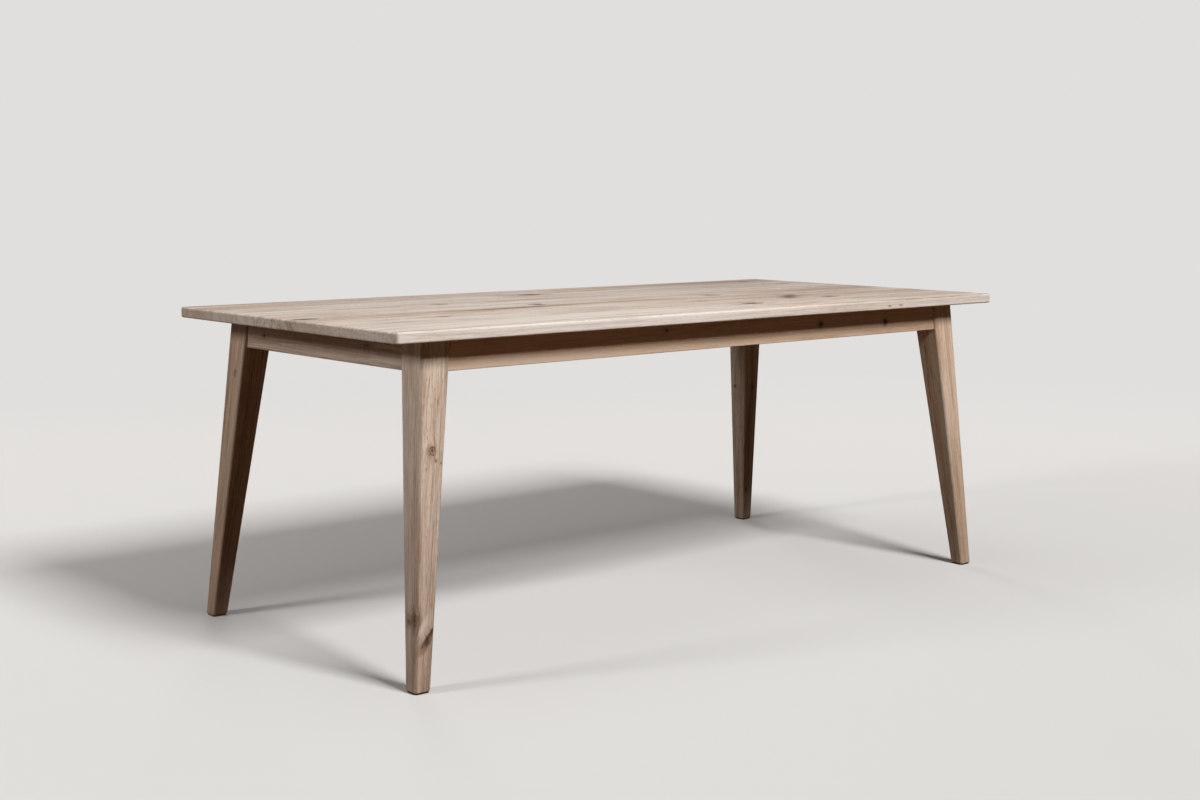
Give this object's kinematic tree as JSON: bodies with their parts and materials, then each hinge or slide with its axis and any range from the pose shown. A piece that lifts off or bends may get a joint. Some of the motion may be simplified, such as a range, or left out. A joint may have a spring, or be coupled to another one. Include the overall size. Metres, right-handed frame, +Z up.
{
  "type": "dining table",
  "caption": "Rectangular solid oak dining table with tapered, splayed legs, aprons and a plain edge-glued top.",
  "frame": {"origin": "on the floor, under the centre of the top", "axes": "+X along the length of the top, +Y across it to the back, +Z up"},
  "size_m": [2, 0.9, 0.76],
  "materials": {
    "top_oak": "matt whitened oil",
    "frame_oak": "matt whitened oil",
    "inner_timber": "sawn and planed, unfinished",
    "dowel_beech": "unfinished",
    "zinc_steel": "bright zinc plate",
    "glide_plastic": "matt"
  },
  "bodies": {
    "root": {"top_board_back": "top_oak", "top_board_back_middle": "top_oak", "top_board_middle": "top_oak", "top_board_front_middle": "top_oak", "top_board_front": "top_oak", "leg_front_left": "frame_oak", "leg_front_right": "frame_oak", "leg_back_left": "frame_oak", "leg_back_right": "frame_oak", "apron_front": "frame_oak", "apron_back": "frame_oak", "apron_left": "frame_oak", "apron_right": "frame_oak", "glide_front_left": "glide_plastic", "glide_front_right": "glide_plastic", "glide_back_left": "glide_plastic", "glide_back_right": "glide_plastic", "corner_block_front_left": "inner_timber", "corner_block_front_right": "inner_timber", "corner_block_back_left": "inner_timber", "corner_block_back_right": "inner_timber", "centre_rail": "inner_timber", "top_buttons": "inner_timber", "apron_dowels": "dowel_beech", "centre_rail_dowels": "dowel_beech", "hanger_bolts": "zinc_steel", "hanger_bolt_washers": "zinc_steel", "hanger_bolt_nuts": "zinc_steel", "corner_block_screws": "zinc_steel", "centre_rail_screws": "zinc_steel", "top_button_screws": "zinc_steel"}
  },
  "joints": []
}
